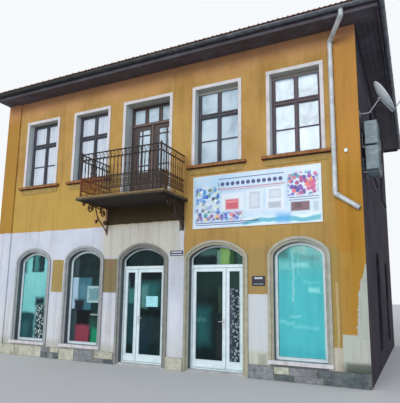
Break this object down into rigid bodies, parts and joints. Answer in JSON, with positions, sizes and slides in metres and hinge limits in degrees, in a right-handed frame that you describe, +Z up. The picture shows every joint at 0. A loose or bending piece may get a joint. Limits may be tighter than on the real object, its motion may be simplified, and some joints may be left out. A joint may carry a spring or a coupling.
{
  "type": "corner shop building",
  "caption": "Two-storey plastered corner shop building with arched ground-floor shop front, iron balcony and a low tiled roof",
  "frame": {"origin": "middle of the building's footprint, on the ground", "axes": "+X to the right along the street front, +Y from the street front to the rear, +Z up"},
  "size_m": [11.2956, 10.48, 9.6719],
  "materials": {
    "ochre_plaster": "matt painted plaster",
    "white_plaster": "matt painted plaster",
    "flank_plaster": "weathered plaster",
    "concrete": "trowelled",
    "floor_timber": "sawn boards",
    "eaves_timber": "dark stained boards",
    "roof_tile": "fired clay",
    "gutter_metal": "white enamel",
    "plinth_stone": "rough dressed stone",
    "surround_plaster": "smooth painted plaster",
    "sill_plaster": "painted plaster",
    "band_plaster": "moulded plaster",
    "window_timber": "old dark varnish",
    "window_glass": "clear",
    "shop_glass": "tinted",
    "pvc": "smooth extruded",
    "handle_metal": "satin",
    "wrought_iron": "rusty paint",
    "sign_vinyl": "printed sheet",
    "plate_enamel": "enamel",
    "unit_metal": "powder coat",
    "bracket_steel": "galvanised grey"
  },
  "bodies": {
    "building": {"ground_floor": "concrete", "front_wall_left": "white_plaster", "front_pier": "white_plaster", "front_wall_right": "ochre_plaster", "front_arch_wall": "ochre_plaster", "left_wall": "flank_plaster", "right_wall": "flank_plaster", "rear_wall": "flank_plaster", "upper_floor": "floor_timber", "front_wall_upper": "ochre_plaster", "left_wall_upper": "flank_plaster", "right_wall_upper": "flank_plaster", "rear_wall_upper": "flank_plaster", "attic_floor": "floor_timber", "eaves_soffit": "eaves_timber", "fascia": "eaves_timber", "roof": "roof_tile", "ridge_tiles": "roof_tile", "gutter": "gutter_metal", "downpipe": "gutter_metal", "corner_pilasters": "ochre_plaster", "plinth": "plinth_stone", "window_surrounds": "surround_plaster", "window_sills": "sill_plaster", "arch_bands": "band_plaster", "shop_sills": "band_plaster", "upper_windows": "window_timber", "upper_glass": "window_glass", "balcony_door": "window_timber", "shop_windows": "pvc", "ground_glass": "shop_glass", "door_frames": "pvc", "balcony_slab": "concrete", "balcony_brackets": "wrought_iron", "railing_front": "wrought_iron", "railing_sides": "wrought_iron", "sign_board": "sign_vinyl", "wall_plates": "plate_enamel", "ac_units": "unit_metal", "ac_brackets": "bracket_steel", "satellite_dish": "unit_metal", "dish_mount": "bracket_steel", "junction_box": "pvc"},
    "left_main_door": {"left_main_leaf": "pvc", "left_main_glass": "shop_glass", "left_door_handles": "handle_metal"},
    "left_side_door": {"left_side_leaf": "pvc", "left_side_glass": "shop_glass"},
    "right_main_door": {"right_main_leaf": "pvc", "right_main_glass": "shop_glass", "right_door_handles": "handle_metal"},
    "right_side_door": {"right_side_leaf": "pvc", "right_side_glass": "shop_glass"}
  },
  "joints": [
    {"name": "left_main_hinge", "type": "hinge", "parent": "building", "child": "left_main_door", "pos_m": [0.544, -4.0977, 1.2], "axis": [0, 0, -1], "range_deg": [0, 90]},
    {"name": "left_side_hinge", "type": "hinge", "parent": "building", "child": "left_side_door", "pos_m": [-0.604, -4.0977, 1.2], "axis": [0, 0, 1], "range_deg": [0, 90]},
    {"name": "right_main_hinge", "type": "hinge", "parent": "building", "child": "right_main_door", "pos_m": [1.326, -4.0977, 1.2], "axis": [0, 0, 1], "range_deg": [0, 90]},
    {"name": "right_side_hinge", "type": "hinge", "parent": "building", "child": "right_side_door", "pos_m": [2.564, -4.0977, 1.2], "axis": [0, 0, -1], "range_deg": [0, 90]}
  ]
}
